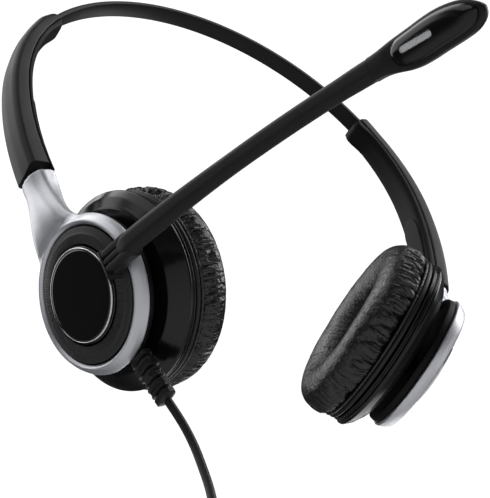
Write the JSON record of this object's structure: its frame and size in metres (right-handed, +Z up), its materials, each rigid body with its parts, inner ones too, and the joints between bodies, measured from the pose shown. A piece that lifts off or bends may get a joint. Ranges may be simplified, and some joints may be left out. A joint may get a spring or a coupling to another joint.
{
  "type": "office headset",
  "caption": "Over-head office headset: flexing headband, sliding metal arms ending in rings, ball-jointed ear cups with cushions, a swinging boom microphone and a coiled lead with a plug.",
  "frame": {"origin": "middle of the headband's underside, where it rests on the wearer's head", "axes": "+Z up, the wearer looks along -Y, and the microphone side is at -X"},
  "size_m": [0.1608, 0.1885, 0.3426],
  "materials": {
    "black_plastic": "satin",
    "soft_black": "soft touch",
    "gloss_black": "gloss",
    "aluminium": "satin brushed",
    "chrome": "polished",
    "steel": "plain",
    "leatherette": "soft grain",
    "cloth": "woven",
    "magnet": "plain",
    "film": "clear film",
    "rubber": "matte",
    "grille": "satin",
    "brass": "plated"
  },
  "bodies": {
    "crown": {"crown_sheath": "black_plastic", "crown_spring": "steel"},
    "left_band": {"left_band_sheath": "black_plastic", "left_band_spring": "steel", "left_slider_stop": "black_plastic"},
    "left_arm": {"left_sleeve_outer": "soft_black", "left_sleeve_inner": "soft_black", "left_yoke": "aluminium", "left_arm_liner": "black_plastic", "left_hub_housing": "black_plastic", "left_cap": "gloss_black", "left_cap_trim": "chrome", "left_ball_stud": "steel", "boom_washer": "steel", "strain_relief": "rubber", "cord": "rubber", "cord_coil": "rubber", "cord_tail": "rubber", "cord_tie": "cloth", "plug_body": "black_plastic", "plug_contacts": "brass"},
    "left_socket": {"left_ball_socket": "black_plastic"},
    "left_cup": {"left_cup_shell": "black_plastic", "left_driver_magnet": "magnet", "left_driver_frame": "black_plastic", "left_driver_diaphragm": "film", "left_baffle": "black_plastic", "left_pad_cloth": "cloth", "left_cushion_ring": "black_plastic", "left_cushion": "leatherette"},
    "right_band": {"right_band_sheath": "black_plastic", "right_band_spring": "steel", "right_slider_stop": "black_plastic"},
    "right_arm": {"right_sleeve_outer": "soft_black", "right_sleeve_inner": "soft_black", "right_yoke": "aluminium", "right_arm_liner": "black_plastic", "right_hub_housing": "black_plastic", "right_cap": "gloss_black", "right_cap_trim": "chrome", "right_ball_stud": "steel", "right_hub_ring": "black_plastic"},
    "right_socket": {"right_ball_socket": "black_plastic"},
    "right_cup": {"right_cup_shell": "black_plastic", "right_driver_magnet": "magnet", "right_driver_frame": "black_plastic", "right_driver_diaphragm": "film", "right_baffle": "black_plastic", "right_pad_cloth": "cloth", "right_cushion_ring": "black_plastic", "right_cushion": "leatherette"},
    "boom_base": {"boom_ring": "black_plastic", "boom_root": "soft_black", "boom_lower": "soft_black"},
    "boom_tip": {"boom_upper": "soft_black", "mic_housing": "soft_black", "mic_cover": "gloss_black", "mic_grille": "grille", "mic_capsule": "steel"}
  },
  "joints": [
    {"name": "left_flex", "type": "hinge", "parent": "crown", "child": "left_band", "pos_m": [-0.0322, 0, -0.00624], "axis": [0, 1, 0], "range_deg": [-4, 16], "stiffness_Nm_per_rad": 2},
    {"name": "right_flex", "type": "hinge", "parent": "crown", "child": "right_band", "pos_m": [0.0322, 0, -0.00624], "axis": [0, -1, 0], "range_deg": [-4, 16], "stiffness_Nm_per_rad": 2},
    {"name": "left_slide", "type": "hinge", "parent": "left_band", "child": "left_arm", "pos_m": [0, 0, -0.0753], "axis": [0, -1, 0], "range_deg": [-14.3, 3.7]},
    {"name": "right_slide", "type": "hinge", "parent": "right_band", "child": "right_arm", "pos_m": [0, 0, -0.0753], "axis": [0, 1, 0], "range_deg": [0, 18]},
    {"name": "left_tilt", "type": "hinge", "parent": "left_arm", "child": "left_socket", "pos_m": [-0.04251, 0.0013, -0.15674], "axis": [0, 1, 0], "range_deg": [-5, 5]},
    {"name": "left_swivel", "type": "hinge", "parent": "left_socket", "child": "left_cup", "pos_m": [-0.04251, 0.0013, -0.15674], "axis": [-0.5373, 0, 0.8434], "range_deg": [-5, 5]},
    {"name": "right_tilt", "type": "hinge", "parent": "right_arm", "child": "right_socket", "pos_m": [0.06028, 0.0013, -0.13482], "axis": [0, 1, 0], "range_deg": [-3, 7]},
    {"name": "right_swivel", "type": "hinge", "parent": "right_socket", "child": "right_cup", "pos_m": [0.06028, 0.0013, -0.13482], "axis": [0.3289, 0, 0.9444], "range_deg": [-5, 5]},
    {"name": "boom_swing", "type": "hinge", "parent": "left_arm", "child": "boom_base", "pos_m": [-0.0506, 0.0013, -0.1619], "axis": [-0.8434, 0, -0.5373], "range_deg": [-46, 254]},
    {"name": "boom_bend", "type": "hinge", "parent": "boom_base", "child": "boom_tip", "pos_m": [-0.04503, -0.07073, -0.18107], "axis": [-0.5121, -0.3023, 0.804], "range_deg": [-30, 30]}
  ]
}
